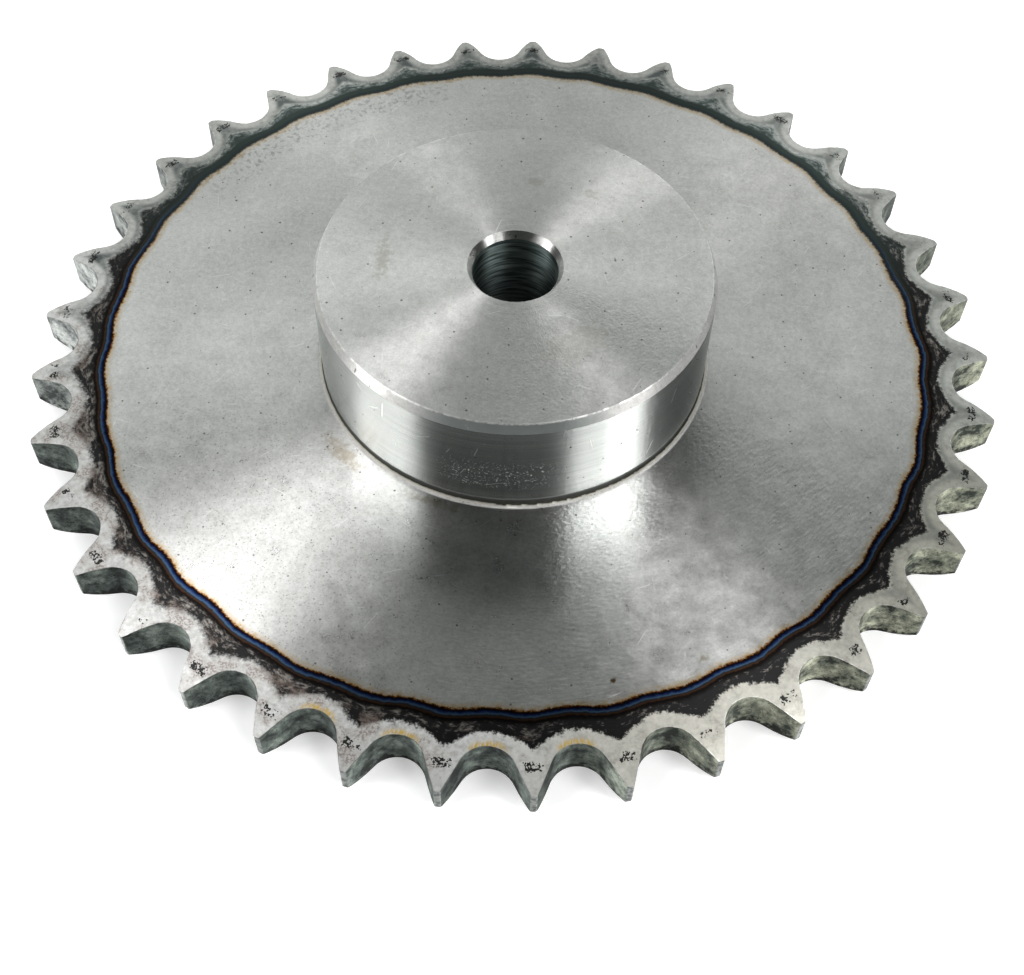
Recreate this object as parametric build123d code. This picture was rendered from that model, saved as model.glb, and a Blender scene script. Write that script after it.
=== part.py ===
from build123d import *
from math import acos, atan2, cos, hypot, pi, radians, sin, sqrt
import os

# Roller-chain sprocket for simplex chain of 19.05 mm pitch, with a hub on one side only.
# It is turned from one piece of steel and its teeth are hobbed. Millimetres. The bore's axis
# is Z, the plain back face lies in z = 0, the hub stands up from the front face of the plate,
# and one tooth is centred on +Y.

# The chain that runs on it
CHAIN_PITCH = 19.05
ROLLER_DIAMETER = 12.07
TOOTH_COUNT = 37

# Hobbed tooth form, in the plane of the plate
SEAT_CLEARANCE = 0.215  # seat radius less roller radius
SEATING_ANGLE = 125.0  # arc of the seat, round the roller's centre
FLANK_RADIUS = 100.0  # convex flank, tangent to the seat
CREST_HEIGHT = 4.15  # tip circle less pitch circle, on the radius
CREST_CORNER_RADIUS = 0.5

# Relief turned on both faces of the rim, so that the chain's plates clear the teeth
RELIEF_WIDTH = 7.6
RELIEF_DEPTH = 1.7

# Plate, hub and bore
PLATE_THICKNESS = 11.1
HUB_DIAMETER = 93.0
OVERALL_LENGTH = 40.0
HUB_CHAMFER_WIDTH = 1.1  # on the radius
HUB_CHAMFER_LENGTH = 2.4  # along the axis
HUB_ROOT_RADIUS = 1.1
BORE_DIAMETER = 20.0
BORE_CHAMFER_WIDTH = 1.1
BORE_CHAMFER_LENGTH = 1.8

# How far the cutters run past the tip circle and the faces
OVERRUN = 2.0

# No corner takes more than this share of a crest's width
CREST_CORNER_SHARE = 0.4

pitch_radius = CHAIN_PITCH / (2 * sin(pi / TOOTH_COUNT))
root_radius = pitch_radius - ROLLER_DIAMETER / 2
tip_radius = pitch_radius + CREST_HEIGHT
seat_radius = ROLLER_DIAMETER / 2 + SEAT_CLEARANCE
seat_centre_radius = root_radius + seat_radius
half_seating = radians(SEATING_ANGLE / 2)
relief_start_radius = tip_radius - RELIEF_WIDTH
relief_arc_radius = (RELIEF_WIDTH**2 + RELIEF_DEPTH**2) / (2 * RELIEF_DEPTH)
hub_radius = HUB_DIAMETER / 2
bore_radius = BORE_DIAMETER / 2


def seat_normal_point(distance, side):
    """The point at a distance from the seat's centre, in line with the end of its arc."""
    x = seat_centre_radius - distance * cos(half_seating)
    y = side * distance * sin(half_seating)
    return (x, y)


def flank_angle():
    """The angle between a gap's middle line and the point where its flank meets the tip circle."""
    x, y = seat_normal_point(seat_radius + FLANK_RADIUS, 1)
    distance = hypot(x, y)
    cosine = (distance**2 + tip_radius**2 - FLANK_RADIUS**2) / (2 * distance * tip_radius)
    return atan2(y, x) - acos(cosine)


def polar_point(radius, angle):
    return (radius * cos(angle), radius * sin(angle))


def gap_face():
    """One tooth gap on +X: the roller's seat, a convex flank on each side, and the way in."""
    angle = flank_angle()
    seat_left = seat_normal_point(seat_radius, 1)
    seat_right = seat_normal_point(seat_radius, -1)
    tip_left = polar_point(tip_radius, angle)
    tip_right = polar_point(tip_radius, -angle)
    seat = ThreePointArc(seat_left, (root_radius, 0), seat_right)
    flank_left = RadiusArc(tip_left, seat_left, FLANK_RADIUS)
    flank_right = RadiusArc(seat_right, tip_right, FLANK_RADIUS)
    mouth_left = polar_point(tip_radius + OVERRUN, angle)
    mouth_right = polar_point(tip_radius + OVERRUN, -angle)
    mouth = Polyline(tip_right, mouth_right, mouth_left, tip_left)
    return make_face(flank_left + seat + flank_right + mouth)


def crest_corner_radius():
    """The crest's corner radius, or as much of it as the crest's width leaves room for."""
    crest_width = 2 * (pi / TOOTH_COUNT - flank_angle()) * tip_radius
    if crest_width <= 0:
        return CREST_CORNER_RADIUS
    return min(CREST_CORNER_RADIUS, CREST_CORNER_SHARE * crest_width)


def distance_from_axis(vertex):
    return round(hypot(vertex.X, vertex.Y), 3)


def toothed_outline():
    """The hobbed outline: the tip circle less a gap for every roller, with rounded crests."""
    half_pitch = 180 / TOOTH_COUNT
    gaps = Rot(0, 0, 90 + half_pitch) * PolarLocations(0, TOOTH_COUNT) * gap_face()
    outline = Circle(tip_radius) - gaps
    crest_corners = outline.vertices().group_by(distance_from_axis)[-1]
    return fillet(crest_corners, crest_corner_radius())


def relief_depth(radius):
    """How far a face of the rim has fallen away at a radius: an arc tangent to the flat face."""
    return relief_arc_radius - sqrt(relief_arc_radius**2 - (radius - relief_start_radius) ** 2)


def turned_section():
    """Half section in the XZ plane: bore, plate with relieved rim, hub with its chamfered edge."""
    rim = tip_radius + OVERRUN
    drop = relief_depth(rim)
    top = PLATE_THICKNESS
    back_relief = RadiusArc((relief_start_radius, 0), (rim, drop), -relief_arc_radius)
    front_relief = RadiusArc((rim, top - drop), (relief_start_radius, top), -relief_arc_radius)
    hub_root = RadiusArc(
        (hub_radius + HUB_ROOT_RADIUS, top),
        (hub_radius, top + HUB_ROOT_RADIUS),
        HUB_ROOT_RADIUS,
    )
    hub_and_bore = Polyline(
        (hub_radius, top + HUB_ROOT_RADIUS),
        (hub_radius, OVERALL_LENGTH - HUB_CHAMFER_LENGTH),
        (hub_radius - HUB_CHAMFER_WIDTH, OVERALL_LENGTH),
        (bore_radius + BORE_CHAMFER_WIDTH, OVERALL_LENGTH),
        (bore_radius, OVERALL_LENGTH - BORE_CHAMFER_LENGTH),
        (bore_radius, BORE_CHAMFER_LENGTH),
        (bore_radius + BORE_CHAMFER_WIDTH, 0),
        (relief_start_radius, 0),
    )
    rim_edge = Line((rim, drop), (rim, top - drop))
    front_face = Line((relief_start_radius, top), (hub_radius + HUB_ROOT_RADIUS, top))
    outline = back_relief + rim_edge + front_relief + front_face + hub_root + hub_and_bore
    return make_face(Plane.XZ * outline)


def sprocket():
    blank = revolve(turned_section(), Axis.Z)
    teeth = extrude(Pos(0, 0, -OVERRUN) * toothed_outline(), OVERALL_LENGTH + 2 * OVERRUN)
    return blank & teeth


os.makedirs("parts", exist_ok=True)
part = sprocket()
part.label = "sprocket"
export_step(part, "parts/sprocket.step")
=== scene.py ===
"""Roller-chain sprocket: turned steel plate and hub, hobbed teeth, induction-hardened rim."""

from math import cos, pi, radians, sin, tan

import bmesh
import bpy
from mathutils import Matrix, Vector


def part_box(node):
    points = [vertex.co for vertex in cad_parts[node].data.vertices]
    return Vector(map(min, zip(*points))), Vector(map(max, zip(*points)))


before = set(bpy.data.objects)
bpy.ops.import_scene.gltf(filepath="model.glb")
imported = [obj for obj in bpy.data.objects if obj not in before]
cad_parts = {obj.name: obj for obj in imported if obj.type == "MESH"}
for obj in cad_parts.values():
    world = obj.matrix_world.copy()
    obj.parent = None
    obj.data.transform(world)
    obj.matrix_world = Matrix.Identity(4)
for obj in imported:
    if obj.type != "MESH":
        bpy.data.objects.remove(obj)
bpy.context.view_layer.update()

# Sizes of the wheel in millimetres. Its patterns are laid out from these.
MM_PER_METRE = 1000.0
TOOTH_COUNT = 37
CHAIN_PITCH = 19.05
SEAT_RADIUS = 6.25
SEAT_CLEARANCE = 0.215
SEATING_ANGLE = radians(125.0)
FLANK_RADIUS = 100.0
HUB_RADIUS = 46.5
HUB_FACE_RADIUS = 45.4
HUB_CHAMFER_DEPTH = 2.4
BORE_RADIUS = 10.0
PLATE_TOP = 11.1
TIP_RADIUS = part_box("sprocket")[1].y * MM_PER_METRE
HUB_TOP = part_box("sprocket")[1].z * MM_PER_METRE
PITCH_RADIUS = CHAIN_PITCH / (2.0 * sin(pi / TOOTH_COUNT))
SEAT_CENTRE = PITCH_RADIUS + SEAT_CLEARANCE
TOOTH_ANGLE = 2.0 * pi / TOOTH_COUNT

# Radii at which the rim's finishes start: heat tint, black scale, its outer edge and how much further
# that edge reaches on each tooth, the walls of the gaps, the teeth, and the row of residue on them
TINT_START = 98.2
SCALE_START = 101.6
SCALE_END = 103.1
SCALE_REACH = 3.9
GAP_WALL_START = 103.0
TEETH_START = 105.0
RESIDUE_ROW = 110.7

# Other places: the radii between which the plate's peppering and its scuffs come in, the heights over which
# the bore's painted shade lifts, and the height of the nicks on the hub's wall
PEPPERED_RADII = (50.0, 60.0)
SCUFFED_RADII = (87.0, 93.0)
BORE_HEIGHTS = (12.0, 36.0)
NICK_HEIGHT = 22.0

# Where round the wheel a finish is strongest. Each side is the angle of its middle in degrees, where 270
# is the front and 0 the right, the spread over which it is whole, and the spread at which it has gone.
WRINKLED_SIDE = (300.0, 18.0, 50.0)
OUTER_RING_SIDE = (88.0, 40.0, 115.0)
VIVID_TINT_SIDE = (268.0, 95.0, 125.0)
SCORCHED_SIDE = (222.0, 30.0, 60.0)
STREAKED_SIDE = (15.0, 35.0, 65.0)
GREEN_FILM_SIDE = (90.0, 40.0, 80.0)
SOFT_EDGE_SIDE = (200.0, 25.0, 75.0)
TOASTED_SIDE = (312.0, 20.0, 45.0)
GREYED_SIDE = (65.0, 80.0, 120.0)
STRAW_TICK_SIDE = (265.0, 14.0, 24.0)
OILY_WALL_SIDE = (335.0, 25.0, 60.0)
CLEANER_WALL_SIDE = (150.0, 25.0, 50.0)
SOOTY_CORNER_SIDE = (222.0, 40.0, 75.0)
PEPPERED_SIDE = (228.0, 14.0, 40.0)
# side of the painted shade on the front of the hub's chamfer
CHAMFER_SHADE_SIDE = (272.0, 11.0, 31.0)
NICKED_SIDE = (269.0, 5.0, 20.0)
# sides of the painted shade over the teeth's middles: far and left, then right
TOOTH_SHADE_FAR_SIDE = (118.0, 50.0, 90.0)
TOOTH_SHADE_RIGHT_SIDE = (25.0, 50.0, 85.0)
SCUFFED_SIDE = (126.0, 12.0, 30.0)

# How strongly the turning marks stretch a reflection
ANISOTROPY = 0.917

# Where the camera stands, in metres, how it is turned, and its lens in millimetres
CAMERA_PLACE = Vector((0.00763, -0.23921, 0.29606))
CAMERA_YAW = radians(-1.731)
CAMERA_DOWN = radians(55.263)
CAMERA_ROLL = radians(1.332)
CAMERA_LENS = 53.31
SENSOR_WIDTH = 36.0
NEAREST_SEEN = 0.01

# Floor, in metres: its half width, and how far it lies under the wheel so that the two never coincide
FLOOR_HALF_WIDTH = 4.0
FLOOR_DROP = 0.00005

# The paper's own glow, the further glow that only the camera sees, near the wheel and beyond it, and the
# radii in millimetres between which that glow grows and the paper turns pure white
PAPER_GLOW = 0.2
SPILL_NEAR, SPILL_BEYOND = 0.18, 0.36
SPILL_RADII = (108.0, 124.0)
PURE_WHITE_RADII = (170.0, 260.0)

# White wall behind the wheel: its middle and half width as angles, the angles over which its sides fade,
# its brightness at the right and at the left, and the dim rest of the room
BACK_WALL_MIDDLE = radians(95.0)
BACK_WALL_HALF = radians(50.0)
WALL_FADE_OUTSIDE = 0.3
WALL_FADE_INSIDE = 0.1
WALL_RIGHT, WALL_LEFT = 0.58, 1.42
WALL_WHITE = (1.0, 1.04, 1.02, 1.0)
ROOM_DIM = (0.044, 0.05, 0.047, 1.0)
# Heights between which the wall dims, as sines of the angle up, and how far: its top, then its foot
WALL_FADES = ((0.68, 0.84, 1.0), (0.28, 0.14, 0.6))

# Soft boxes: how far they stand, the watts a square metre of one takes for a brightness of 1, and for each
# its azimuth, elevation, half width and half height in degrees, and its brightness
LAMP_DISTANCE = 2.5
WATTS_PER_AREA = 4.0
SOFT_BOXES = {
    "left_back_soft_box": (150.0, 61.0, 10.3, 6.0, 4.6),
    "left_low_soft_box": (196.0, 25.1, 8.2, 9.5, 10.9),
    "left_high_soft_box": (207.9, 44.1, 6.9, 9.5, 7.2),
    "right_soft_box": (336.0, 44.1, 8.0, 21.3, 8.2),
    "right_front_soft_box": (310.0, 39.0, 5.0, 9.5, 6.2),
}

WHITE = (1.0, 1.0, 1.0, 1.0)
BLACK = (0.0, 0.0, 0.0, 1.0)
SMOOTH = {"interpolation_type": "SMOOTHSTEP"}

# A Mix node's inputs and output for numbers, vectors and colours
NUMBER_A, NUMBER_B = 2, 3
VECTOR_A, VECTOR_B, VECTOR_OUT = 4, 5, 1
COLOUR_A, COLOUR_B, COLOUR_OUT = 6, 7, 2


def linear(hex_colour):
    """An sRGB hex colour as the linear numbers that a shader takes."""
    parts = [int(hex_colour[i:i + 2], 16) / 255.0 for i in (1, 3, 5)]
    parts = [p / 12.92 if p <= 0.04045 else ((p + 0.055) / 1.055) ** 2.4 for p in parts]
    return (*parts, 1.0)


def add(tree, kind, inputs=(), stops=(), **settings):
    """Adds a node, sets its properties and ramp stops, and gives its inputs values or links.

    A node given as a value stands for its first output.
    """
    node = tree.nodes.new("ShaderNode" + kind)
    for number, (place, colour) in enumerate(stops):
        if number > 1:
            node.color_ramp.elements.new(place)
        node.color_ramp.elements[number].position = place
        node.color_ramp.elements[number].color = linear(colour)
    for name, setting in settings.items():
        setattr(node, name, setting)
    pairs = inputs.items() if isinstance(inputs, dict) else enumerate(inputs)
    for key, value in pairs:
        if isinstance(value, bpy.types.Node):
            value = value.outputs[0]
        if isinstance(value, bpy.types.NodeSocket):
            tree.links.new(value, node.inputs[key])
        elif value is not None:
            node.inputs[key].default_value = value
    return node


# ---------------------------------------------------------------- places on the wheel


def read_radius(tree, coordinates):
    """A point in millimetres, the same point laid flat, and its distance from the axis."""
    metres = coordinates.outputs["Object"]
    mm = add(tree, "VectorMath", [metres, None, None, MM_PER_METRE], operation="SCALE")
    flat = add(tree, "VectorMath", [mm, (1.0, 1.0, 0.0)], operation="MULTIPLY")
    radius = add(tree, "VectorMath", [flat], operation="LENGTH").outputs["Value"]
    return mm, flat, radius


def read_place(tree):
    """Where a point lies in millimetres and round the axis, and whether its surface is level or steep.

    The skin is the faces as they lie, with the round walls unrolled.
    """
    coordinates = add(tree, "TexCoord")
    mm, flat, radius = read_radius(tree, coordinates)
    outward = add(tree, "VectorMath", [flat], operation="NORMALIZE")
    split = add(tree, "SeparateXYZ", [mm])
    angle = add(tree, "Math", [split.outputs["Y"], split.outputs["X"]], operation="ARCTAN2")
    facing = add(tree, "SeparateXYZ", [coordinates.outputs["Normal"]]).outputs["Z"]
    upright = add(tree, "Math", [facing], operation="ABSOLUTE")
    level = add(tree, "MapRange", [upright, 0.3, 0.4, 0.0, 1.0], **SMOOTH)
    steep = add(tree, "Math", [1.0, level], operation="SUBTRACT")
    girth = add(tree, "Math", [angle, HUB_RADIUS], operation="MULTIPLY")
    unrolled = add(tree, "CombineXYZ", [girth, split.outputs["Z"], 0.0])
    skin = add(tree, "Mix", {"Factor": level, VECTOR_A: unrolled, VECTOR_B: flat}, data_type="VECTOR")
    return {
        "mm": mm,
        "flat": flat,
        "skin": skin.outputs[VECTOR_OUT],
        "radius": radius,
        "outward": outward,
        "height": split.outputs["Z"],
        "angle": angle,
        "normal": coordinates.outputs["Normal"],
        "level": level,
        "steep": steep,
    }


def read_tooth(tree, place):
    """How a point lies to the teeth.

    The wave peaks on each tooth, depth is the way in from the outline of the gaps, local is the angle from
    the middle of a gap, and past is the way out from the black scale's arched edge.
    """
    from_tooth = add(tree, "Math", [place["angle"], pi / 2.0], operation="SUBTRACT")
    turns = add(tree, "Math", [from_tooth, float(TOOTH_COUNT)], operation="MULTIPLY")
    wave = add(tree, "Math", [turns], operation="COSINE")
    from_gap = add(tree, "Math", [from_tooth, TOOTH_ANGLE / 2.0], operation="SUBTRACT")
    local = add(tree, "Math", [from_gap, TOOTH_ANGLE / 2.0, -TOOTH_ANGLE / 2.0], operation="WRAP")
    along = add(tree, "Math", [local], operation="COSINE")
    across = add(tree, "Math", [local], operation="SINE")
    across = add(tree, "Math", [across], operation="ABSOLUTE")
    along = add(tree, "Math", [along, place["radius"]], operation="MULTIPLY")
    across = add(tree, "Math", [across, place["radius"]], operation="MULTIPLY")
    point = add(tree, "CombineXYZ", [along, across, 0.0])

    half = SEATING_ANGLE / 2.0
    reach = SEAT_RADIUS + FLANK_RADIUS
    seat_middle = (SEAT_CENTRE, 0.0, 0.0)
    flank_middle = (SEAT_CENTRE - reach * cos(half), reach * sin(half), 0.0)
    from_seat = add(tree, "VectorMath", [point, seat_middle], operation="DISTANCE").outputs["Value"]
    from_flank = add(tree, "VectorMath", [point, flank_middle], operation="DISTANCE").outputs["Value"]
    in_seat = add(tree, "Math", [from_seat, SEAT_RADIUS], operation="SUBTRACT")
    in_flank = add(tree, "Math", [FLANK_RADIUS, from_flank], operation="SUBTRACT")
    offset = add(tree, "VectorMath", [point, seat_middle], operation="SUBTRACT")
    side = add(tree, "VectorMath", [offset, (sin(half), cos(half), 0.0)], operation="DOT_PRODUCT")
    on_flank = add(tree, "Math", [side.outputs["Value"], 0.0], operation="GREATER_THAN")
    depth = add(tree, "Mix", {"Factor": on_flank, NUMBER_A: in_seat, NUMBER_B: in_flank}, data_type="FLOAT")

    arch = add(tree, "MapRange", [wave, -1.0, 1.0, 1.0, 0.0])
    arch = add(tree, "Math", [arch], operation="SQRT")
    edge = add(tree, "MapRange", [arch, 0.0, 1.0, SCALE_END + SCALE_REACH, SCALE_END])
    past = add(tree, "Math", [place["radius"], edge], operation="SUBTRACT")
    return {"wave": wave, "depth": depth, "local": local, "past": past}


def circling(tree, place, per_mm, round_turn):
    """Coordinates for marks that run round the axis: fine across them and slow along them."""
    across = add(tree, "Math", [place["radius"], place["height"]], operation="ADD")
    across = add(tree, "Math", [across, per_mm], operation="MULTIPLY")
    turned = add(tree, "VectorMath", [place["outward"], None, None, round_turn], operation="SCALE")
    turned = add(tree, "SeparateXYZ", [turned])
    return add(tree, "CombineXYZ", [across, turned.outputs["X"], turned.outputs["Y"]])


def facing_side(tree, place, middle, inner, outer):
    """1 on the side of the wheel round an angle in degrees, falling to 0 between two spreads."""
    way = (cos(radians(middle)), sin(radians(middle)), 0.0)
    turned = add(tree, "VectorMath", [place["outward"], way], operation="DOT_PRODUCT").outputs["Value"]
    return add(tree, "MapRange", [turned, cos(radians(outer)), cos(radians(inner)), 0.0, 1.0], **SMOOTH)


def tool_tangent(tree, place):
    """Across the tool marks: outward on the faces, and along the axis on the round walls."""
    around = add(tree, "VectorMath", [(0.0, 0.0, 1.0), place["outward"]], operation="CROSS_PRODUCT")
    return add(tree, "VectorMath", [place["normal"], around], operation="CROSS_PRODUCT")


def read_noise(tree, place, tooth):
    """Noise fields shared by the finishes: lumps by size, turned rings, and streaks bent round the gaps."""
    fields = {}
    sizes_mm = (("cloud", 26.0, 2.0), ("blotch", 5.0, 3.0), ("fleck", 1.2, 2.0), ("grit", 0.45, 1.0))
    for name, size, detail in sizes_mm:
        fields[name] = add(tree, "TexNoise", [place["mm"], None, 1.0 / size, detail, 0.6])
    rings = circling(tree, place, 1.5, 1.4)
    fields["rings"] = add(tree, "TexNoise", [rings, None, 1.0, 1.0, 0.6])
    bend = add(tree, "Math", [tooth["past"], 0.6, place["radius"]], operation="MULTIPLY_ADD")
    streaks = circling(tree, dict(place, radius=bend), 0.8, 60.0)
    fields["streak"] = add(tree, "TexNoise", [streaks, None, 1.0, 2.0, 0.7])
    return fields


def shaken(tree, value, noise, shares, low=0.3, high=0.7, clamp=True):
    """A value moved up and down by noise fields, each by its own share either way."""
    for name, share in shares.items():
        part = add(tree, "MapRange", [noise[name], low, high, -share, share], clamp=clamp)
        value = add(tree, "Math", [value, part], operation="ADD")
    return value


def off_line(tree, value, line):
    """How far a value lies from a line, to either side."""
    past = add(tree, "Math", [value, line], operation="SUBTRACT")
    return add(tree, "Math", [past], operation="ABSOLUTE")


# ---------------------------------------------------------------- the wheel's finishes


def lay_over(tree, under, over, mask):
    """One finish on top of another where the mask is 1."""
    result = {}
    for name in under:
        if name not in over:
            result[name] = under[name]
        elif name == "colour":
            ends = {"Factor": mask, COLOUR_A: under[name], COLOUR_B: over[name]}
            result[name] = add(tree, "Mix", ends, data_type="RGBA").outputs[COLOUR_OUT]
        else:
            ends = {"Factor": mask, NUMBER_A: under[name], NUMBER_B: over[name]}
            result[name] = add(tree, "Mix", ends, data_type="FLOAT")
    return result


def both(tree, *masks):
    """Where every mask holds."""
    total = masks[0]
    for mask in masks[1:]:
        total = add(tree, "Math", [total, mask], operation="MULTIPLY")
    return total


def turned_steel(tree, noise):
    """Carbon steel, fine turned. Rings too fine to count give it fans of light and a cloudy sheen."""
    shares = {"cloud": 0.1, "blotch": 0.08, "fleck": 0.09, "grit": 0.09}
    total = shaken(tree, 0.5, noise, shares, 0.25, 0.75, clamp=False)
    colour = add(tree, "ValToRGB", [total], [(0.3, "#bbbab8"), (0.7, "#e4e3e1")])
    rough = add(tree, "MapRange", [noise["blotch"], 0.3, 0.7, 0.27, 0.33])
    return {"colour": colour, "rough": rough, "metal": 1.0}


def surface_relief(tree, place):
    """Heights in millimetres: the leathery ripple of the plate, worst on one side, and tool rings."""
    ripple = add(tree, "TexNoise", [circling(tree, place, 1.5, 46.0), None, 1.0, 1.0, 0.5])
    worst = facing_side(tree, place, *WRINKLED_SIDE)
    depth = add(tree, "MapRange", [worst, 0.0, 1.0, 0.009, 0.04])
    ripple = add(tree, "Math", [ripple, depth], operation="MULTIPLY")
    rings = add(tree, "TexNoise", [circling(tree, place, 2.2, 1.5), None, 1.0, 1.0, 0.6])
    near_bore = add(tree, "MapRange", [place["radius"], 12.0, 18.0, 0.04, 0.003])
    rings = add(tree, "Math", [rings, near_bore], operation="MULTIPLY")
    return add(tree, "Math", [ripple, rings], operation="ADD")


def ring_place(tree, place, tooth, noise):
    """Radius as the heat rings see it.

    They swell out at each tooth, wander, have a rough edge, and lie further out on the far side.
    """
    swell = add(tree, "Math", [tooth["wave"], 0.35], operation="MULTIPLY")
    ring = add(tree, "Math", [place["radius"], swell], operation="SUBTRACT")
    ring = shaken(tree, ring, noise, {"cloud": 0.45, "fleck": 0.16})
    far = facing_side(tree, place, *OUTER_RING_SIDE)
    far = add(tree, "Math", [far, 1.1], operation="MULTIPLY")
    return add(tree, "Math", [ring, far], operation="SUBTRACT")


def heat_tint(tree, place, ring, noise):
    """Oxide colours of steel heated at the rim: straw, brown, black, blue, then grey."""
    fray = add(tree, "MapRange", [noise["grit"], 0.35, 0.65, -0.13, 0.13])
    inner = add(tree, "MapRange", [ring, TINT_START + 0.2, TINT_START + 1.0, 1.0, 0.0])
    fray = add(tree, "Math", [fray, inner], operation="MULTIPLY")
    frayed = add(tree, "Math", [ring, fray], operation="ADD")
    start = TINT_START - 0.5
    span = SCALE_START - TINT_START + 1.0
    share = add(tree, "MapRange", [frayed, start, start + span, 0.0, 1.0])
    vivid_stops = (
        (0.0, "#c8b488"),
        (0.32, "#a27a3c"),
        (0.55, "#6e4119"),
        (0.76, "#24130d"),
        (0.95, "#0b0a10"),
        (1.25, "#111a36"),
        (1.55, "#263a62"),
        (1.85, "#43576c"),
        (2.15, "#22282e"),
        (2.45, "#3f2b1d"),
        (2.85, "#171413"),
        (span, "#131212"),
    )
    dull_stops = (
        (0.0, "#c9c4ba"),
        (0.5, "#8c8172"),
        (0.9, "#353b3a"),
        (1.5, "#30393a"),
        (2.4, "#3b4542"),
        (span, "#353e3b"),
    )
    vivid = add(tree, "ValToRGB", [share], [(mm / span, colour) for mm, colour in vivid_stops])
    dull = add(tree, "ValToRGB", [share], [(mm / span, colour) for mm, colour in dull_stops])
    # oxide colours are real; vivid near, dull far is painted reflection of how light shows them
    bright = facing_side(tree, place, *VIVID_TINT_SIDE)
    colour = add(tree, "Mix", {"Factor": bright, COLOUR_A: dull, COLOUR_B: vivid}, data_type="RGBA")
    mask = add(tree, "MapRange", [frayed, start, TINT_START + 0.1, 0.0, 1.0], **SMOOTH)
    rough = add(tree, "MapRange", [ring, TINT_START, SCALE_START, 0.3, 0.42])
    finish = {"colour": colour.outputs[COLOUR_OUT], "rough": rough}
    return finish, both(tree, mask, place["level"])


def straw_halo(tree, place, ring, noise):
    """First faint straw colour inside the heat rings."""
    mask = add(tree, "MapRange", [ring, TINT_START - 1.8, TINT_START - 0.2, 0.0, 0.75], **SMOOTH)
    patchy = add(tree, "MapRange", [noise["fleck"], 0.35, 0.6, 0.35, 1.0])
    return {"colour": linear("#b99c68")}, both(tree, mask, patchy, place["level"])


def black_scale(tree, place, tooth, ring, noise):
    """Baked black oxide scale, reaching out on each tooth, with grey steel where it has flaked.

    It is blackest along its outer edge, but on the far side it thins there to a green-grey film.
    """
    mottle = add(tree, "MapRange", [noise["blotch"], 0.3, 0.7, -0.13, 0.13])
    thin = facing_side(tree, place, *SCORCHED_SIDE)
    total = add(tree, "Math", [thin, 0.13, mottle], operation="MULTIPLY_ADD")
    streaked = facing_side(tree, place, *STREAKED_SIDE)
    total = add(tree, "Math", [streaked, 0.09, total], operation="MULTIPLY_ADD")
    total = add(tree, "Math", [noise["streak"], total], operation="ADD")
    far = facing_side(tree, place, *GREEN_FILM_SIDE)
    lean = add(tree, "MapRange", [far, 0.0, 1.0, -0.1, 0.19])
    outer = add(tree, "MapRange", [tooth["past"], -2.2, -0.6, 0.0, 1.0], **SMOOTH)
    total = add(tree, "Math", [outer, lean, total], operation="MULTIPLY_ADD")
    black_stops = [(0.46, "#070707"), (0.58, "#171616"), (0.67, "#55514f"), (0.8, "#8f8a84")]
    film_stops = [(0.36, "#2f3937"), (0.52, "#414c49"), (0.63, "#6c7471"), (0.76, "#959b98")]
    black = add(tree, "ValToRGB", [total], black_stops)
    film = add(tree, "ValToRGB", [total], film_stops)
    colour = add(tree, "Mix", {"Factor": far, COLOUR_A: black, COLOUR_B: film}, data_type="RGBA")
    mask = add(tree, "MapRange", [ring, SCALE_START - 0.9, SCALE_START + 0.4, 0.0, 1.0], **SMOOTH)
    metal = add(tree, "MapRange", [total, 0.5, 0.7, 0.5, 0.9])
    finish = {"colour": colour.outputs[COLOUR_OUT], "rough": 0.46, "metal": metal}
    return finish, both(tree, mask, place["level"])


def root_band(tree, place, tooth, noise):
    """Clean light-grey steel round the gaps and over the teeth, with a ragged inner edge."""
    past = shaken(tree, tooth["past"], noise, {"blotch": 0.4, "fleck": 0.35, "grit": 0.3})
    soft = facing_side(tree, place, *SOFT_EDGE_SIDE)
    width = add(tree, "MapRange", [soft, 0.0, 1.0, 0.45, 1.1])
    past = add(tree, "Math", [past, width], operation="DIVIDE")
    mask = add(tree, "MapRange", [past, -1.0, 1.0, 0.0, 1.0], **SMOOTH)
    total = shaken(tree, 0.5, noise, {"blotch": 0.16, "fleck": 0.12, "grit": 0.06}, 0.25, 0.75)
    colour = add(tree, "ValToRGB", [total], [(0.25, "#a09f9c"), (0.5, "#cdcdcb"), (0.75, "#e2e2e0")])
    for side, film in ((TOASTED_SIDE, "#e5e2d9"), (GREYED_SIDE, "#d6d8d4")):
        filmed = facing_side(tree, place, *side)
        ends = {"Factor": filmed, COLOUR_A: colour, COLOUR_B: linear(film)}
        colour = add(tree, "Mix", ends, data_type="RGBA", blend_type="MULTIPLY").outputs[COLOUR_OUT]
    finish = {"colour": colour, "rough": 0.46, "metal": 0.5}
    return finish, both(tree, mask, place["level"])


def brown_smears(tree, place, noise):
    """Burnt cutting oil wiped over the milled band, worst on one side."""
    worst = facing_side(tree, place, *SCORCHED_SIDE)
    least = add(tree, "MapRange", [worst, 0.0, 1.0, 0.68, 0.44])
    amount = add(tree, "Math", [noise["blotch"], least], operation="SUBTRACT")
    amount = add(tree, "MapRange", [amount, 0.0, 0.14, 0.0, 0.8])
    spread = add(tree, "MapRange", [place["radius"], GAP_WALL_START - 0.5, GAP_WALL_START + 1.0, 0.0, 1.0])
    broken = add(tree, "MapRange", [noise["grit"], 0.4, 0.6, 0.35, 1.0])
    finish = {"colour": linear("#7a6b63"), "rough": 0.5}
    return finish, both(tree, amount, spread, broken, place["level"])


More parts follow.
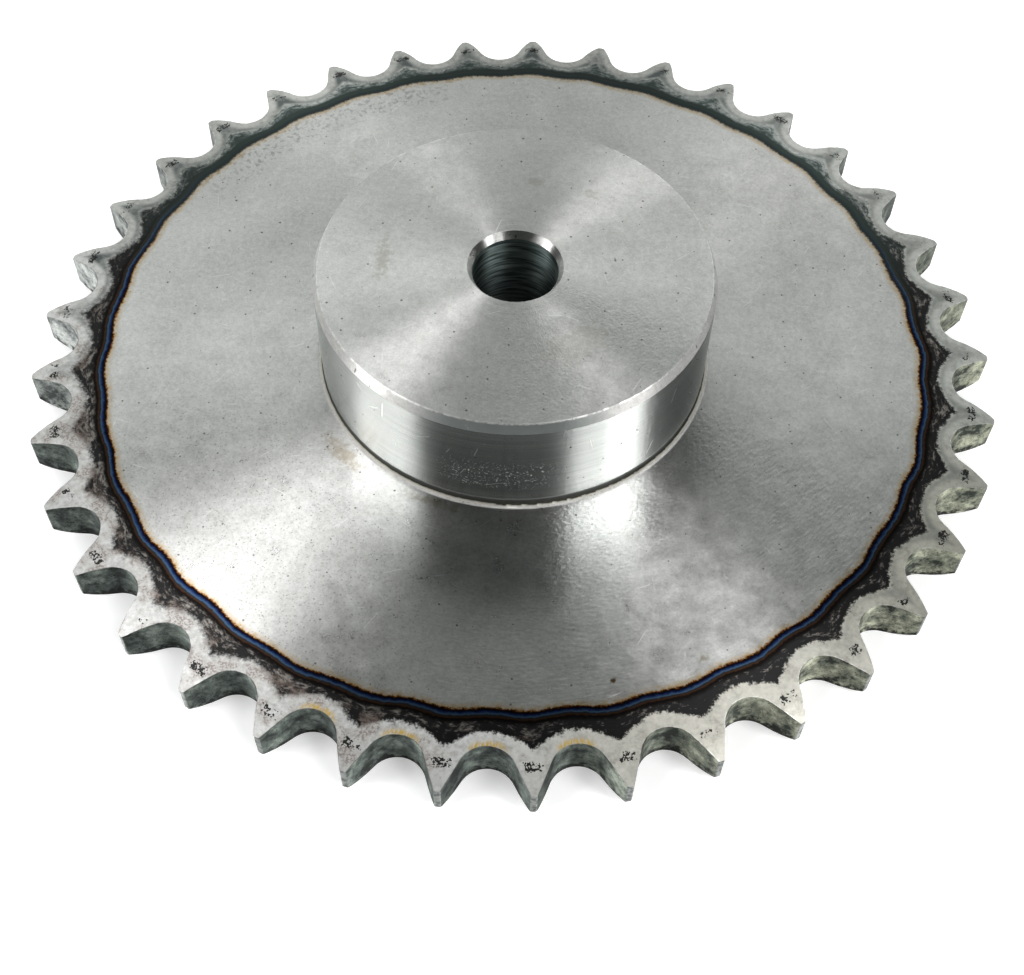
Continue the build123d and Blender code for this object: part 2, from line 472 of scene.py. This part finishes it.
def residue_dabs(tree, place, tooth, noise):
    """Rows of black dabs left on the relieved sides of the teeth."""
    near = off_line(tree, place["radius"], RESIDUE_ROW)
    near = add(tree, "MapRange", [near, 0.6, 1.9, 1.0, 0.0], **SMOOTH)
    patch = add(tree, "MapRange", [noise["blotch"], 0.38, 0.52, 0.3, 1.0])
    middle = add(tree, "MapRange", [tooth["wave"], 0.55, 0.85, 0.0, 1.0])
    level = both(tree, near, patch, middle)
    lumps = add(tree, "Math", [noise["grit"], 1.3, noise["streak"]], operation="MULTIPLY_ADD")
    total = add(tree, "Math", [level, 0.62, lumps], operation="MULTIPLY_ADD")
    mask = add(tree, "MapRange", [total, 1.68, 1.76, 0.0, 1.0], **SMOOTH)
    row = add(tree, "MapRange", [level, 0.0, 0.1, 0.0, 1.0])
    finish = {"colour": linear("#141311"), "rough": 0.6, "metal": 0.2}
    return finish, both(tree, mask, row, place["level"])


def straw_ticks(tree, place, tooth):
    """Gold temper ticks on the root edges, on the near side."""
    across = add(tree, "Math", [place["angle"], 240.0], operation="MULTIPLY")
    slow = add(tree, "Math", [place["radius"], 0.5], operation="MULTIPLY")
    ticks = add(tree, "TexNoise", [add(tree, "CombineXYZ", [across, slow, 0.0]), None, 1.0, 1.0, 0.5])
    ticks = add(tree, "MapRange", [ticks, 0.4, 0.56, 0.2, 1.0])
    reach = add(tree, "MapRange", [tooth["depth"], 0.5, 1.8, 1.0, 0.0], **SMOOTH)
    root = add(tree, "Math", [tooth["local"]], operation="ABSOLUTE")
    root = add(tree, "MapRange", [root, radians(1.4), radians(2.6), 1.0, 0.0], **SMOOTH)
    near = facing_side(tree, place, *STRAW_TICK_SIDE)
    finish = {"colour": linear("#c9a851")}
    return finish, both(tree, ticks, reach, root, near, place["level"])


def edge_highlights(tree, place, tooth, noise):
    """Bright line along the edges of the gaps, a painted highlight for their small edge break, broken by
    grime.
    """
    line = add(tree, "MapRange", [tooth["depth"], 0.08, 0.26, 1.0, 0.0], **SMOOTH)
    broken = add(tree, "MapRange", [noise["fleck"], 0.42, 0.62, 0.0, 0.6])
    teeth = add(tree, "MapRange", [place["radius"], TEETH_START, TEETH_START + 1.0, 0.0, 1.0])
    # painted highlight: near-white where the gaps' small edge break would catch the light
    finish = {"colour": linear("#f0efec"), "rough": 0.35, "metal": 1.0}
    return finish, both(tree, line, broken, teeth, place["level"])


def gap_walls(tree, place, noise):
    """Hobbed walls of the gaps, dulled green-grey by hot oil and blotched, with soot spots."""
    film_and_shade = facing_side(tree, place, *OILY_WALL_SIDE)
    dark_stops = [(0.34, "#2b302d"), (0.45, "#4d5551"), (0.56, "#68716b"), (0.68, "#8d958e")]
    light_stops = [(0.36, "#333832"), (0.43, "#6c7165"), (0.55, "#999c8a"), (0.66, "#c4c7b2")]
    pale_stops = [(0.36, "#4d5250"), (0.5, "#9b9f9d"), (0.66, "#cbcecb")]
    lumps = shaken(tree, noise["blotch"], noise, {"fleck": 0.08})
    dark = add(tree, "ValToRGB", [lumps], dark_stops)
    light = add(tree, "ValToRGB", [lumps], light_stops)
    pale = add(tree, "ValToRGB", [lumps], pale_stops)
    cleaner = facing_side(tree, place, *CLEANER_WALL_SIDE)
    spots = add(tree, "MapRange", [noise["grit"], 0.33, 0.4, 0.35, 1.0])
    colour = add(tree, "Mix", {"Factor": film_and_shade, COLOUR_A: dark, COLOUR_B: light}, data_type="RGBA")
    ends = {"Factor": cleaner, COLOUR_A: colour.outputs[COLOUR_OUT], COLOUR_B: pale}
    colour = add(tree, "Mix", ends, data_type="RGBA")
    ends = {"Factor": 1.0, COLOUR_A: colour.outputs[COLOUR_OUT], COLOUR_B: spots}
    colour = add(tree, "Mix", ends, data_type="RGBA", blend_type="MULTIPLY")
    rim = add(tree, "MapRange", [place["radius"], GAP_WALL_START, GAP_WALL_START + 1.0, 0.0, 1.0])
    finish = {"colour": colour.outputs[COLOUR_OUT], "rough": 0.46, "metal": 0.8}
    return finish, both(tree, rim, place["steep"])


def wall_dark_foot(tree, place, noise):
    """Black along the lower edge of the gap walls, ragged and never quite absent."""
    low = shaken(tree, place["height"], noise, {"fleck": 1.6})
    low = shaken(tree, low, noise, {"blotch": 1.2}, 0.35, 0.65)
    mask = add(tree, "MapRange", [low, 0.6, 2.2, 0.9, 0.0], **SMOOTH)
    rim = add(tree, "MapRange", [place["radius"], GAP_WALL_START, GAP_WALL_START + 1.0, 0.0, 1.0])
    # darker towards the bottom of the gap walls
    finish = {"colour": linear("#171a18"), "rough": 0.55, "metal": 0.4}
    return finish, both(tree, mask, rim, place["steep"])


def sooty_corners(tree, place, tooth, noise):
    """Thin dark line of baked oil where the flat faces turn down into the gaps."""
    line = add(tree, "MapRange", [tooth["depth"], 0.0, 0.2, 1.0, 0.0])
    broken = add(tree, "MapRange", [noise["blotch"], 0.4, 0.5, 0.2, 0.8])
    near = facing_side(tree, place, *SOOTY_CORNER_SIDE)
    teeth = add(tree, "MapRange", [place["radius"], TEETH_START, TEETH_START + 1.0, 0.0, 1.0])
    finish = {"colour": linear("#3c3b36"), "rough": 0.5}
    return finish, both(tree, line, broken, near, teeth, place["level"])


def tip_lands(tree, place, noise):
    """Turned tips of the teeth, light grey."""
    tip = add(tree, "MapRange", [place["radius"], TIP_RADIUS - 0.22, TIP_RADIUS - 0.08, 0.0, 1.0])
    colour = add(tree, "ValToRGB", [noise["fleck"]], [(0.35, "#636766"), (0.6, "#a9aca9")])
    finish = {"colour": colour, "rough": 0.42, "metal": 1.0}
    return finish, both(tree, tip, place["steep"])


def drilled_bore(tree, place, noise):
    """Drilled pilot bore, dark with spiral drill marks, and blacker further down with painted shade."""
    drilled = add(tree, "ValToRGB", [noise["rings"]], [(0.35, "#3a4443"), (0.65, "#7f8d8a")])
    # painted shade: the bore's colour is scaled darker towards the bottom of the hole
    film_and_shade = add(tree, "MapRange", [place["height"], *BORE_HEIGHTS, 0.12, 1.1], **SMOOTH)
    colour = add(tree, "VectorMath", [drilled, None, None, film_and_shade], operation="SCALE")
    inside = add(tree, "MapRange", [place["radius"], BORE_RADIUS + 0.05, BORE_RADIUS + 0.15, 1.0, 0.0])
    finish = {"colour": colour, "rough": 0.42, "metal": 1.0}
    return finish, both(tree, inside, place["steep"])


def small_pits(tree, place):
    """Scattered pits and specks of grit, a few tenths of a millimetre wide."""
    cells = add(tree, "TexVoronoi", {"Vector": place["skin"], "Scale": 0.24}, voronoi_dimensions="2D")
    chosen = add(tree, "SeparateColor", [cells.outputs["Color"]])
    size = add(tree, "MapRange", [chosen.outputs["Red"], 0.55, 1.0, 0.0, 0.075])
    inside = add(tree, "Math", [size, cells.outputs["Distance"]], operation="SUBTRACT")
    mask = add(tree, "MapRange", [inside, 0.0, 0.02, 0.0, 0.75])
    return {"colour": linear("#4a4844"), "rough": 0.5}, mask


def peppering(tree, place, noise):
    """Close dark specks in the plate on the side where the bar it was cut from was rusted."""
    speck = add(tree, "MapRange", [noise["grit"], 0.34, 0.27, 0.0, 0.5])
    side = facing_side(tree, place, *PEPPERED_SIDE)
    plate = add(tree, "MapRange", [place["radius"], *PEPPERED_RADII, 0.0, 1.0])
    return {"colour": linear("#55524e")}, both(tree, speck, side, plate, place["level"])


def fine_scratches(tree, place, spacing, length, width):
    """Short straight scratches, one to a cell at its own angle."""
    scale = 1.0 / spacing
    cells = add(tree, "TexVoronoi", {"Vector": place["skin"], "Scale": scale}, voronoi_dimensions="2D")
    local = add(tree, "VectorMath", [place["skin"], cells.outputs["Position"]], operation="SUBTRACT")
    chosen = add(tree, "SeparateColor", [cells.outputs["Color"]])
    turn = add(tree, "Math", [chosen.outputs["Red"], 2.0 * pi], operation="MULTIPLY")
    local = add(tree, "VectorRotate", {"Vector": local, "Angle": turn}, rotation_type="Z_AXIS")
    parts = add(tree, "SeparateXYZ", [local])
    along = add(tree, "Math", [parts.outputs["X"]], operation="ABSOLUTE")
    across = add(tree, "Math", [parts.outputs["Y"]], operation="ABSOLUTE")
    reach = add(tree, "Math", [chosen.outputs["Green"], length], operation="MULTIPLY")
    along = add(tree, "Math", [reach, along], operation="SUBTRACT")
    along = add(tree, "MapRange", [along, 0.0, 0.6, 0.0, 1.0])
    across = add(tree, "MapRange", [across, width * 0.2, width * 0.5, 1.0, 0.0])
    some = add(tree, "MapRange", [chosen.outputs["Blue"], 0.3, 1.0, 0.0, 0.7])
    finish = {"colour": linear("#f4f4f2"), "rough": 0.4}
    return finish, both(tree, along, across, some)


def make_spot(tree, place, noise, angle, radius, size, round_size):
    """A smudge at an angle in degrees and a radius, wider round the axis than across."""
    turn = radians(angle)
    middle = (radius * cos(turn), radius * sin(turn), 0.0)
    away = add(tree, "VectorMath", [place["flat"], middle], operation="SUBTRACT")
    across = add(tree, "VectorMath", [away, (cos(turn), sin(turn), 0.0)], operation="DOT_PRODUCT")
    along = add(tree, "VectorMath", [away, (-sin(turn), cos(turn), 0.0)], operation="DOT_PRODUCT")
    across = add(tree, "Math", [across.outputs["Value"], size], operation="DIVIDE")
    along = add(tree, "Math", [along.outputs["Value"], round_size], operation="DIVIDE")
    spread = add(tree, "VectorMath", [add(tree, "CombineXYZ", [across, along, 0.0])], operation="LENGTH")
    spread = shaken(tree, spread.outputs["Value"], noise, {"fleck": 0.35})
    return add(tree, "MapRange", [spread, 0.2, 1.0, 1.0, 0.0], **SMOOTH)


def smudges(tree, place, noise):
    """Thumbed oil and rust marks on the faces: angle, radius, size across and round, depth, colour."""
    marks = (
        (180.0, 30.5, 2.2, 8.0, 0.35, "#8d8472"),
        (55.0, 29.5, 2.0, 3.0, 0.3, "#9a9488"),
        (82.0, 27.5, 2.0, 3.5, 0.3, "#97928a"),
        (302.0, 27.0, 6.0, 14.0, 0.22, "#a39a90"),
        (285.8, 93.3, 0.9, 1.0, 0.95, "#5a4318"),
        (298.0, 94.5, 1.1, 1.8, 0.5, "#8a7a58"),
        (222.0, 51.0, 2.6, 9.0, 0.5, "#a18f6e"),
        (251.0, 49.4, 1.4, 9.0, 0.45, "#8f7f5e"),
        (8.0, 23.0, 0.35, 0.8, 0.8, "#55534e"),
        (160.0, 33.5, 0.35, 0.35, 0.9, "#2c2b29"),
    )
    finishes = []
    for angle, radius, size, round_size, depth, colour in marks:
        spot = make_spot(tree, place, noise, angle, radius, size, round_size)
        spot = add(tree, "Math", [spot, depth], operation="MULTIPLY")
        finishes.append(({"colour": linear(colour)}, both(tree, spot, place["level"])))
    return finishes


def hub_edge(tree, place, noise):
    """Nicked bright line where the hub's face meets its chamfer."""
    away = off_line(tree, place["radius"], HUB_FACE_RADIUS)
    line = add(tree, "MapRange", [away, 0.06, 0.2, 1.0, 0.0], **SMOOTH)
    high = add(tree, "MapRange", [place["height"], HUB_TOP - 0.8, HUB_TOP - 0.6, 0.0, 1.0])
    broken = add(tree, "MapRange", [noise["fleck"], 0.4, 0.55, 0.1, 0.9])
    finish = {"colour": linear("#f6f6f4"), "rough": 0.45}
    return finish, both(tree, line, high, broken)


def hub_chamfer_shade(tree, place):
    """Painted shade on the front of the hub's chamfer, a darker grey for the dark reflection it shows there.
    """
    foot = HUB_TOP - HUB_CHAMFER_DEPTH
    high = add(tree, "MapRange", [place["height"], foot - 0.05, foot + 0.05, 0.0, 1.0])
    sloping = add(tree, "MapRange", [place["radius"], HUB_FACE_RADIUS, HUB_FACE_RADIUS + 0.1, 0.0, 1.0])
    # painted shade: darker grey on the front of the chamfer, standing in for its dark reflection
    front = facing_side(tree, place, *CHAMFER_SHADE_SIDE)
    finish = {"colour": linear("#8a908e")}
    return finish, both(tree, high, sloping, front)


def shaded_hub_wall(tree, place, noise):
    """Round wall and chamfer of the hub, turned finer than the faces, in a darker grey that is painted
    shade.
    """
    inside = add(tree, "MapRange", [place["radius"], HUB_FACE_RADIUS - 0.1, HUB_FACE_RADIUS + 0.1, 0.0, 1.0])
    outside = add(tree, "MapRange", [place["radius"], HUB_RADIUS + 0.1, HUB_RADIUS + 1.0, 1.0, 0.0])
    # painted shade: a darker grey than the faces, standing in for the wall's darker reflection
    colour = add(tree, "ValToRGB", [noise["rings"]], [(0.3, "#abafae"), (0.7, "#babdbb")])
    finish = {"colour": colour, "rough": 0.26}
    return finish, both(tree, inside, outside, place["steep"])


def wall_nicks(tree, place, noise):
    """Swarm of tiny bright nicks halfway up the front of the hub's wall."""
    nick = add(tree, "MapRange", [noise["grit"], 0.63, 0.69, 0.0, 0.7])
    away = off_line(tree, place["height"], NICK_HEIGHT)
    swarm = add(tree, "MapRange", [away, 1.5, 6.0, 1.0, 0.0], **SMOOTH)
    front = facing_side(tree, place, *NICKED_SIDE)
    outside = add(tree, "MapRange", [place["radius"], HUB_RADIUS - 0.5, HUB_RADIUS - 0.3, 0.0, 1.0])
    finish = {"colour": linear("#eef0ee"), "rough": 0.5, "metal": 0.3}
    return finish, both(tree, nick, swarm, front, outside, place["steep"])


def hub_foot_shade_and_highlight(tree, place, noise):
    """Painted light in the corner at the hub's foot: a dark line of painted shade over a pale painted
    highlight.

    The corner is dull a little further out than its colour reaches.
    """
    rise = add(tree, "Math", [place["height"], PLATE_TOP], operation="SUBTRACT")
    beyond = add(tree, "Math", [place["radius"], HUB_RADIUS], operation="SUBTRACT")
    near = add(tree, "MapRange", [beyond, 0.6, 0.8, 1.0, 0.0])
    wide = add(tree, "MapRange", [beyond, 1.05, 1.35, 1.0, 0.0])
    rise = shaken(tree, rise, noise, {"fleck": 0.06})
    low = add(tree, "MapRange", [rise, 1.6, 2.4, 1.0, 0.0], **SMOOTH)
    above = add(tree, "MapRange", [rise, -0.6, -0.4, 0.0, 1.0])
    inside = add(tree, "MapRange", [beyond, -0.3, -0.2, 0.0, 1.0])
    share = add(tree, "MapRange", [rise, 0.0, 1.8, 0.0, 1.0])
    # painted highlight in the pale stop on the fillet, painted shade in the dark stops on the wall above
    stops = [(0.0, "#8b8b88"), (0.07, "#cfccc3"), (0.2, "#b0ada3"), (0.3, "#33332d"), (1.0, "#4a4c49")]
    colour = add(tree, "ValToRGB", [share], stops)
    corner = both(tree, low, above, inside)
    return [
        ({"rough": 0.75, "metal": 0.65}, both(tree, corner, wide)),
        ({"colour": colour}, both(tree, corner, near)),
    ]


def shaded_tooth_middles(tree, place, tooth, noise):
    """Painted shade over the teeth's middles: grey on the right, darkest on the far and left sides."""
    core = add(tree, "MapRange", [tooth["depth"], 1.2, 3.0, 0.0, 1.0], **SMOOTH)
    out = add(tree, "MapRange", [tooth["past"], -0.6, 1.2, 0.0, 1.0], **SMOOTH)
    far_shade = facing_side(tree, place, *TOOTH_SHADE_FAR_SIDE)
    dim = facing_side(tree, place, *TOOTH_SHADE_RIGHT_SIDE)
    side = add(tree, "Math", [far_shade, dim], operation="MAXIMUM")
    # painted shade: greys standing in for the dark reflection of the teeth's relieved tops
    ends = {"Factor": far_shade, COLOUR_A: linear("#70736f"), COLOUR_B: linear("#474f4e")}
    colour = add(tree, "Mix", ends, data_type="RGBA")
    lumps = add(tree, "MapRange", [noise["blotch"], 0.36, 0.6, 0.35, 0.95])
    finish = {"colour": colour.outputs[COLOUR_OUT], "rough": 0.48}
    return finish, both(tree, core, out, side, lumps, place["level"])


def plate_scuffs(tree, place, noise):
    """Grey scuffs where the wheel was held in the heating fixture."""
    out = add(tree, "MapRange", [place["radius"], *SCUFFED_RADII, 0.0, 1.0], **SMOOTH)
    side = facing_side(tree, place, *SCUFFED_SIDE)
    lumps = add(tree, "MapRange", [noise["fleck"], 0.5, 0.66, 0.0, 0.55])
    finish = {"colour": linear("#77797a"), "rough": 0.45}
    return finish, both(tree, out, side, lumps, place["level"])


def wheel_steel():
    """One piece of carbon steel: turned faces, hobbed teeth and an induction-hardened, scaled rim."""
    material = bpy.data.materials.new("turned_hardened_carbon_steel")
    material.use_nodes = True
    tree = material.node_tree
    tree.nodes.clear()
    place = read_place(tree)
    tooth = read_tooth(tree, place)
    noise = read_noise(tree, place, tooth)
    ring = ring_place(tree, place, tooth, noise)
    layers = smudges(tree, place, noise)
    # painted shade on hub wall, chamfer, foot, bore and tooth middles; painted highlights on foot and gap
    # edges
    layers += [
        shaded_hub_wall(tree, place, noise),
        small_pits(tree, place),
        peppering(tree, place, noise),
        fine_scratches(tree, place, spacing=6.5, length=2.8, width=0.24),
        hub_chamfer_shade(tree, place),
        hub_edge(tree, place, noise),
        wall_nicks(tree, place, noise),
        *hub_foot_shade_and_highlight(tree, place, noise),
        plate_scuffs(tree, place, noise),
        straw_halo(tree, place, ring, noise),
        drilled_bore(tree, place, noise),
        heat_tint(tree, place, ring, noise),
        black_scale(tree, place, tooth, ring, noise),
        root_band(tree, place, tooth, noise),
        brown_smears(tree, place, noise),
        shaded_tooth_middles(tree, place, tooth, noise),
        residue_dabs(tree, place, tooth, noise),
        straw_ticks(tree, place, tooth),
        gap_walls(tree, place, noise),
        wall_dark_foot(tree, place, noise),
        tip_lands(tree, place, noise),
        edge_highlights(tree, place, tooth, noise),
        sooty_corners(tree, place, tooth, noise),
    ]
    finish = turned_steel(tree, noise)
    for over, mask in layers:
        finish = lay_over(tree, finish, over, mask)
    height = surface_relief(tree, place)
    bump = add(tree, "Bump", {"Height": height, "Strength": 1.0, "Distance": 1.0 / MM_PER_METRE})
    shader = add(tree, "BsdfPrincipled", {
        "Base Color": finish["colour"],
        "Metallic": finish["metal"],
        "Roughness": finish["rough"],
        "Normal": bump,
        "Tangent": tool_tangent(tree, place),
        "Anisotropic": ANISOTROPY,
    })
    add(tree, "OutputMaterial", [shader])
    return material


# ---------------------------------------------------------------- studio


def floor_material():
    """Matt white paper. It keeps the wheel's shadow and is plain white further away."""
    material = bpy.data.materials.new("white_paper_sweep")
    material.use_nodes = True
    tree = material.node_tree
    tree.nodes.clear()
    radius = read_radius(tree, add(tree, "TexCoord"))[-1]
    ray = add(tree, "LightPath")
    seen = add(tree, "Math", [ray.outputs["Is Camera Ray"], ray.outputs["Is Glossy Ray"]], operation="ADD")
    seen = add(tree, "Math", [seen, ray.outputs["Is Transmission Ray"]], operation="ADD")
    seen.use_clamp = True
    paper = add(tree, "BsdfDiffuse", [linear("#e8e8e8")])
    lift = add(tree, "Math", [seen, PAPER_GLOW], operation="MULTIPLY")
    spill = add(tree, "MapRange", [radius, *SPILL_RADII, SPILL_NEAR, SPILL_BEYOND])
    lift = add(tree, "Math", [ray.outputs["Is Camera Ray"], spill, lift], operation="MULTIPLY_ADD")
    glow = add(tree, "Emission", [WHITE, lift])
    near = add(tree, "AddShader", [paper, glow])
    white = add(tree, "Emission", [WHITE, 1.0])
    far = add(tree, "MixShader", [seen, paper, white])
    away = add(tree, "MapRange", [radius, *PURE_WHITE_RADII, 0.0, 1.0], **SMOOTH)
    add(tree, "OutputMaterial", [add(tree, "MixShader", [away, near, far])])
    return material


def make_floor():
    """A flat sheet of paper under the wheel, far wider than it."""
    shape = bmesh.new()
    bmesh.ops.create_grid(shape, x_segments=2, y_segments=2, size=FLOOR_HALF_WIDTH)
    mesh = bpy.data.meshes.new("floor")
    shape.to_mesh(mesh)
    shape.free()
    floor = bpy.data.objects.new("floor", mesh)
    floor.location.z = -FLOOR_DROP
    bpy.context.scene.collection.objects.link(floor)
    mesh.materials.append(floor_material())


def make_world():
    """A room with a white wall behind the wheel, brighter to the left, and dim greenish sides."""
    world = bpy.data.worlds.new("studio_room")
    bpy.context.scene.world = world
    world.use_nodes = True
    tree = world.node_tree
    tree.nodes.clear()
    direction = add(tree, "TexCoord").outputs["Generated"]
    height = add(tree, "SeparateXYZ", [direction]).outputs["Z"]
    level = add(tree, "VectorMath", [direction, (1.0, 1.0, 0.0)], operation="MULTIPLY")
    level = add(tree, "VectorMath", [level], operation="NORMALIZE")
    toward = (cos(BACK_WALL_MIDDLE), sin(BACK_WALL_MIDDLE), 0.0)
    toward = add(tree, "VectorMath", [level, toward], operation="DOT_PRODUCT").outputs["Value"]
    leftward = (-sin(BACK_WALL_MIDDLE), cos(BACK_WALL_MIDDLE), 0.0)
    leftward = add(tree, "VectorMath", [level, leftward], operation="DOT_PRODUCT").outputs["Value"]
    outside = cos(BACK_WALL_HALF + WALL_FADE_OUTSIDE)
    inside = cos(BACK_WALL_HALF - WALL_FADE_INSIDE)
    wall = add(tree, "MapRange", [toward, outside, inside, 0.0, 1.0])
    light = add(tree, "MapRange", [leftward, -1.0, 1.0, WALL_RIGHT, WALL_LEFT])
    ends = {"Factor": light, COLOUR_A: BLACK, COLOUR_B: WALL_WHITE}
    white = add(tree, "Mix", ends, data_type="RGBA", clamp_factor=False)
    ends = {"Factor": wall, COLOUR_A: ROOM_DIM, COLOUR_B: white.outputs[COLOUR_OUT]}
    room = add(tree, "Mix", ends, data_type="RGBA").outputs[COLOUR_OUT]
    for start, end, share in WALL_FADES:
        dim = add(tree, "MapRange", [height, start, end, 0.0, share], **SMOOTH)
        ends = {"Factor": dim, COLOUR_A: room, COLOUR_B: ROOM_DIM}
        room = add(tree, "Mix", ends, data_type="RGBA").outputs[COLOUR_OUT]
    seen = add(tree, "LightPath").outputs["Is Camera Ray"]
    ends = {"Factor": seen, COLOUR_A: room, COLOUR_B: WHITE}
    room = add(tree, "Mix", ends, data_type="RGBA").outputs[COLOUR_OUT]
    add(tree, "OutputWorld", [add(tree, "Background", [room, 1.0])])


def make_lamp(name, azimuth, elevation, half_width, half_height, brightness):
    """A soft box that faces the wheel. Angles are in degrees, as seen from the wheel."""
    width, height = (2.0 * LAMP_DISTANCE * tan(radians(a)) for a in (half_width, half_height))
    lamp = bpy.data.lights.new(name, "AREA")
    lamp.shape = "RECTANGLE"
    lamp.size = width
    lamp.size_y = height
    lamp.energy = WATTS_PER_AREA * width * height * brightness
    turn, rise = radians(azimuth), radians(elevation)
    away = Vector((cos(turn) * cos(rise), sin(turn) * cos(rise), sin(rise)))
    holder = bpy.data.objects.new(name, lamp)
    holder.location = away * LAMP_DISTANCE
    holder.rotation_mode = "QUATERNION"
    holder.rotation_quaternion = away.to_track_quat("Z", "Y")
    bpy.context.scene.collection.objects.link(holder)


def make_camera():
    """A camera aimed by its yaw and its angle down, then rolled about its own axis."""
    level = cos(CAMERA_DOWN)
    forward = Vector((sin(CAMERA_YAW) * level, cos(CAMERA_YAW) * level, -sin(CAMERA_DOWN)))
    right = forward.cross(Vector((0.0, 0.0, 1.0))).normalized()
    up = right.cross(forward)
    across = right * cos(CAMERA_ROLL) + up * sin(CAMERA_ROLL)
    above = up * cos(CAMERA_ROLL) - right * sin(CAMERA_ROLL)
    turned = Matrix((across, above, -forward)).transposed()
    camera = bpy.data.cameras.new("camera")
    camera.lens = CAMERA_LENS
    camera.sensor_width = SENSOR_WIDTH
    camera.clip_start = NEAREST_SEEN
    holder = bpy.data.objects.new("camera", camera)
    holder.matrix_world = Matrix.Translation(CAMERA_PLACE) @ turned.to_4x4()
    bpy.context.scene.collection.objects.link(holder)
    bpy.context.scene.camera = holder


make_camera()
make_floor()
make_world()
for lamp_name, setting in SOFT_BOXES.items():
    make_lamp(lamp_name, *setting)

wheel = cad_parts["sprocket"]
wheel.data.materials[0] = wheel_steel()

bpy.context.scene.view_settings.view_transform = "Standard"
